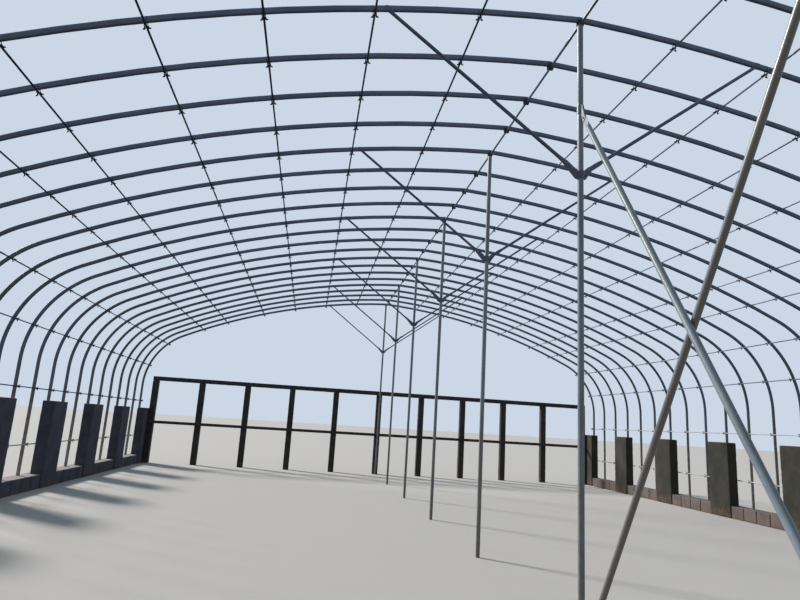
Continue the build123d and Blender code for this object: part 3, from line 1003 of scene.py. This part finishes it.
# Seeds of the wear
FIRST_BLOCK_SEED = 2
BED_SEED = 500
PILLAR_SEED = 40
END_POST_SEED = 900
END_TOP_RAIL_SEED = 950
END_LOW_RAIL_SEED = 951


def curb_stretches(side, inner):
    """Stretches of curb as (near, far, inner face, blocks): under each pillar, and from one to the next."""
    stretches = []
    half = PILLAR_LENGTH / 2
    for index, y in enumerate(PILLAR_YS):
        stretches.append((y - half, y + half, side * LEG_INNER, BLOCKS_PER_PILLAR))
        if index + 1 < len(PILLAR_YS):
            stretches.append((y + half, PILLAR_YS[index + 1] - half, inner, BLOCKS_PER_STRETCH))
    return stretches


def make_curb(name, side):
    low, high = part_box(f"curb_{name}")
    inner, outer = (low.x, high.x) if side > 0 else (high.x, low.x)
    blocks = Shape()
    bed = Shape()
    seed = FIRST_BLOCK_SEED
    for near, far, face, count in curb_stretches(side, inner):
        length = (far - near) / count
        x0, x1 = sorted((face, outer))
        for i in range(count):
            y0, y1 = near + i * length + BLOCK_GAP, near + (i + 1) * length - BLOCK_GAP
            blocks.rough_box((x0, y0, 0), (x1, y1, CURB_TOP), seed, *BLOCK_SURFACE)
            seed += 1
        x0, x1 = sorted((face + side * BED_INSET, outer - side * BED_INSET))
        bed.rough_box((x0, near, 0), (x1, far, CURB_TOP - BED_DROP), seed - 1 + BED_SEED, *BED_SURFACE)
    bed.finish(f"curb_mortar_{name}", mortar)
    # The left curb takes the copy with painted shade and a painted sunlit top
    coat = curb_painted_shade_and_light if side < 0 else curb_block
    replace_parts(blocks.finish(f"curb_blocks_{name}", coat), f"curb_{name}")


def make_pillars(name, side):
    pillars = Shape()
    x0, x1 = sorted((side * PILLAR_INNER, side * LEG_INNER))
    for index, y in enumerate(PILLAR_YS):
        y0, y1 = y - PILLAR_LENGTH / 2, y + PILLAR_LENGTH / 2
        pillars.rough_box((x0, y0, 0), (x1, y1, PILLAR_TOP), index + PILLAR_SEED * side, *PILLAR_SURFACE)
    # The left pillars take the copy with painted shade
    coat = pillar_left_painted_shade if side < 0 else pillar_right
    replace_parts(pillars.finish(f"pillar_masonry_{name}", coat), f"pillars_{name}")


def make_end_frame():
    low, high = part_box("end_posts")
    size = high.y - low.y
    pitch = (high.x - low.x - size) / (END_POST_COUNT - 1)
    posts = Shape()
    for i in range(END_POST_COUNT):
        x = low.x + i * pitch
        posts.rough_box((x, low.y, 0), (x + size, high.y, high.z), i + END_POST_SEED, *END_POST_SURFACE)
    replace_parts(posts.finish("end_post_concrete", end_concrete), "end_posts")
    rail_low, rail_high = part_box("end_rails")
    rails = Shape()
    rails.rough_box((rail_low.x, low.y, high.z), (rail_high.x, high.y, rail_high.z),
                    END_TOP_RAIL_SEED, *END_TOP_RAIL_SURFACE)
    rails.rough_box(rail_low, (rail_high.x, low.y, rail_low.z + END_LOW_RAIL_HEIGHT),
                    END_LOW_RAIL_SEED, *END_LOW_RAIL_SURFACE)
    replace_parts(rails.finish("end_rail_concrete", end_concrete), "end_rails")


bolt_shape = Shape()
make_hoops()
make_purlins()
make_clips()
make_posts()
make_struts(bolt_shape)
make_collars()
make_brace(bolt_shape)
dress_clamps(bolt_shape)
bolt_shape.finish("bolts", bolt_steel, BOLT_SHARP_ANGLE)
for wall, wall_side in SIDES.items():
    make_curb(wall, wall_side)
    make_pillars(wall, wall_side)
make_end_frame()


# Stage and light

FLOOR_HALF = 300
FLOOR_COLOUR = (0.62, 0.60, 0.57)
FLOOR_BOUNCE = (0.17, 0.135, 0.105)
FLOOR_ROUGHNESS = 0.95
SKY_LIGHT = (0.66, 0.82, 1.0)
SKY_STRENGTH = 0.28
SKY_SEEN = (0.60, 0.68, 0.79)
SUN_COLOUR = (1.0, 0.95, 0.89)
SUN_STRENGTH = 3.9
SUN_ANGLE = radians(10)
SUN_TRAVEL = (0.68, -0.57, -0.52)


def make_floor():
    """Plain floor, pale where it is seen or mirrored, with the bounce of bare soil."""
    material, tree, shader, _ = new_material("floor")
    seen = blend_colour(tree, seen_directly(tree), FLOOR_BOUNCE, FLOOR_COLOUR)
    tree.links.new(seen, shader.inputs["Base Color"])
    shader.inputs["Roughness"].default_value = FLOOR_ROUGHNESS
    mesh = bpy.data.meshes.new("floor")
    corners = [(x * FLOOR_HALF, y * FLOOR_HALF, 0) for x, y in ((-1, -1), (1, -1), (1, 1), (-1, 1))]
    mesh.from_pydata(corners, [], [(0, 1, 2, 3)])
    mesh.materials.append(material)
    floor = bpy.data.objects.new("floor", mesh)
    bpy.context.scene.collection.objects.link(floor)


def make_world():
    """Low bluish light from the sky, which is paler where it is seen or mirrored."""
    world = bpy.data.worlds.new("studio")
    bpy.context.scene.world = world
    world.use_nodes = True
    tree = world.node_tree
    light = tree.nodes["Background"]
    light.inputs["Color"].default_value = (*SKY_LIGHT, 1)
    light.inputs["Strength"].default_value = SKY_STRENGTH
    sky = tree.nodes.new("ShaderNodeBackground")
    sky.inputs["Color"].default_value = (*SKY_SEEN, 1)
    mix = tree.nodes.new("ShaderNodeMixShader")
    tree.links.new(seen_directly(tree), mix.inputs["Fac"])
    tree.links.new(light.outputs["Background"], mix.inputs[1])
    tree.links.new(sky.outputs["Background"], mix.inputs[2])
    tree.links.new(mix.outputs["Shader"], tree.nodes["World Output"].inputs["Surface"])


def make_sun():
    """Sun from the left and ahead."""
    sun = bpy.data.lights.new("sun", "SUN")
    sun.energy = SUN_STRENGTH
    sun.color = SUN_COLOUR
    sun.angle = SUN_ANGLE
    lamp = bpy.data.objects.new("sun", sun)
    lamp.rotation_euler = Vector(SUN_TRAVEL).to_track_quat("-Z", "Y").to_euler()
    bpy.context.scene.collection.objects.link(lamp)


# Camera

IMAGE_WIDTH = 800
SENSOR_WIDTH = 36
CAMERA_FOCAL_PIXELS = 598.90
CAMERA_PLACE = (-2.3048, -10.9228, 1.5919)
CAMERA_HEADING = radians(7.923)
CAMERA_ELEVATION = radians(11.810)
CAMERA_ROLL = radians(3.498)


def make_camera():
    """Camera solved from the photo: heading to the right of +Y, elevation up, and roll."""
    h, e, r = CAMERA_HEADING, CAMERA_ELEVATION, CAMERA_ROLL
    forward = Vector((sin(h) * cos(e), cos(h) * cos(e), sin(e)))
    level = Vector((cos(h), -sin(h), 0))
    upright = level.cross(forward)
    right = level * cos(r) + upright * sin(r)
    up = upright * cos(r) - level * sin(r)
    data = bpy.data.cameras.new("camera")
    data.sensor_width = SENSOR_WIDTH
    data.lens = CAMERA_FOCAL_PIXELS / IMAGE_WIDTH * SENSOR_WIDTH
    data.clip_end = 2 * FLOOR_HALF
    camera = bpy.data.objects.new("camera", data)
    matrix = Matrix((right, up, -forward)).transposed().to_4x4()
    matrix.translation = Vector(CAMERA_PLACE)
    camera.matrix_world = matrix
    bpy.context.scene.collection.objects.link(camera)
    bpy.context.scene.camera = camera


make_floor()
make_world()
make_sun()
make_camera()
bpy.context.scene.view_settings.view_transform = "Standard"
